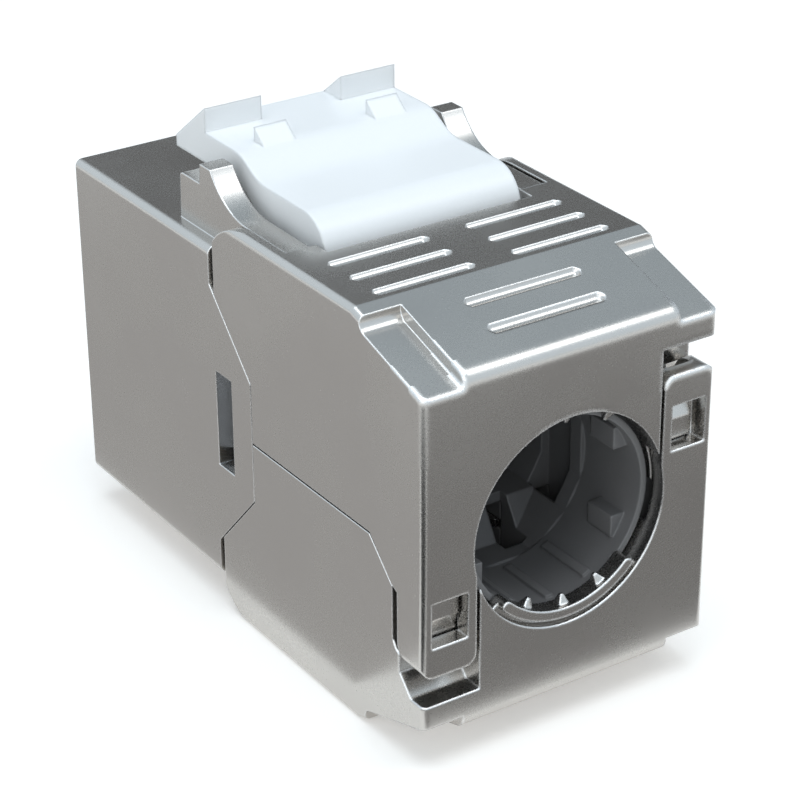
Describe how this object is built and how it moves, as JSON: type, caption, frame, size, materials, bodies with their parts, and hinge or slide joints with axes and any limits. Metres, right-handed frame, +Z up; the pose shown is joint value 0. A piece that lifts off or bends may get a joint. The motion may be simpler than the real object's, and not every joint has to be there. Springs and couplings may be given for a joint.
{
  "type": "keystone jack",
  "caption": "Shielded keystone jack with a plug port in front, a sprung panel latch on top and hinged shells that close round the cable entry at the back.",
  "frame": {"origin": "centre of the footprint on the floor, under the lower shell's flat face", "axes": "+Y from the port face to the cable entry, +Z up to the latch, +X across the jack"},
  "size_m": [0.0144, 0.0284, 0.0221],
  "materials": {
    "cast_metal": "satin nickel plate on die-cast zinc",
    "latch_plastic": "moulded white, satin",
    "inner_plastic": "moulded charcoal, matt",
    "board": "solder mask, satin",
    "contact_gold": "gold flash, bright",
    "terminal_metal": "tin plate, satin",
    "spring_metal": "bright spring strip"
  },
  "bodies": {
    "housing": {"front_housing": "cast_metal", "contact_comb": "inner_plastic", "circuit_board": "board", "terminal_block": "inner_plastic", "wire_manager": "inner_plastic", "shield_spring_left": "spring_metal", "shield_spring_right": "spring_metal", "port_contact_1": "contact_gold", "port_contact_2": "contact_gold", "port_contact_3": "contact_gold", "port_contact_4": "contact_gold", "port_contact_5": "contact_gold", "port_contact_6": "contact_gold", "port_contact_7": "contact_gold", "port_contact_8": "contact_gold", "terminal_1": "terminal_metal", "terminal_2": "terminal_metal", "terminal_3": "terminal_metal", "terminal_4": "terminal_metal", "terminal_5": "terminal_metal", "terminal_6": "terminal_metal", "terminal_7": "terminal_metal", "terminal_8": "terminal_metal"},
    "latch": {"keystone_latch": "latch_plastic"},
    "upper_cover": {"upper_shell": "cast_metal"},
    "lower_cover": {"lower_shell": "cast_metal"}
  },
  "joints": [
    {"name": "latch_hinge", "type": "hinge", "parent": "housing", "child": "latch", "pos_m": [0, 0.0021, 0.01775], "axis": [1, 0, 0], "range_deg": [0, 9], "stiffness_Nm_per_rad": 0.5},
    {"name": "upper_shell_hinge", "type": "hinge", "parent": "housing", "child": "upper_cover", "pos_m": [0, -0.0002, 0.0173], "axis": [1, 0, 0], "range_deg": [0, 90]},
    {"name": "lower_shell_hinge", "type": "hinge", "parent": "housing", "child": "lower_cover", "pos_m": [0, -0.0002, 0.0018], "axis": [1, 0, 0], "range_deg": [-90, 0]}
  ],
  "couplings": [
    {"joint": "lower_shell_hinge", "follows": "upper_shell_hinge", "ratio": -1}
  ]
}
